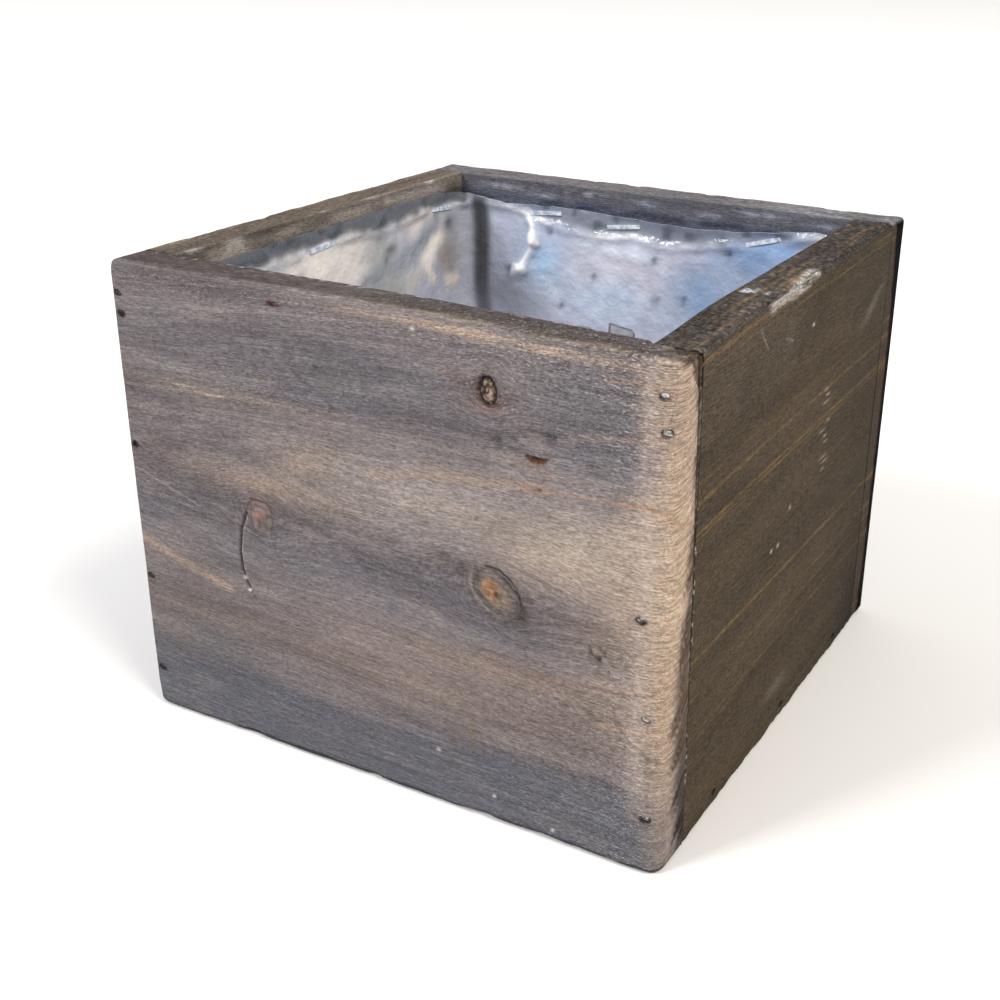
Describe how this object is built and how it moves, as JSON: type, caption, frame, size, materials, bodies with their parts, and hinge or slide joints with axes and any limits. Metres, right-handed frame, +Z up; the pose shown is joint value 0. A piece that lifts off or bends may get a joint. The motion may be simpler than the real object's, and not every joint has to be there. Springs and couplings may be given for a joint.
{
  "type": "indoor herb planter",
  "caption": "Square open-topped wooden box planter with butt-jointed stained boards, an inset base and a stapled clear film liner that keeps soil and water off the wood.",
  "frame": {"origin": "centre of the underside, on the plane that the planter stands on", "axes": "+Z up through the open top, -Y is the front board's face, +X is the right side board"},
  "size_m": [0.152, 0.152, 0.125],
  "materials": {
    "stained_wood": "grey-brown stain, sanded and worn at the edges",
    "bare_wood": "sawn, unstained",
    "clear_film": "clear glossy polyethylene film, creased",
    "steel_wire": "galvanised"
  },
  "bodies": {
    "root": {"front_board": "stained_wood", "back_board": "stained_wood", "left_board": "stained_wood", "right_board": "stained_wood", "base_board": "bare_wood", "liner": "clear_film", "front_left_nails": "steel_wire", "front_right_nails": "steel_wire", "back_left_nails": "steel_wire", "back_right_nails": "steel_wire", "base_nails_left": "steel_wire", "base_nails_right": "steel_wire", "liner_staples_front": "steel_wire", "liner_staples_back": "steel_wire", "liner_staples_left": "steel_wire", "liner_staples_right": "steel_wire"}
  },
  "joints": []
}
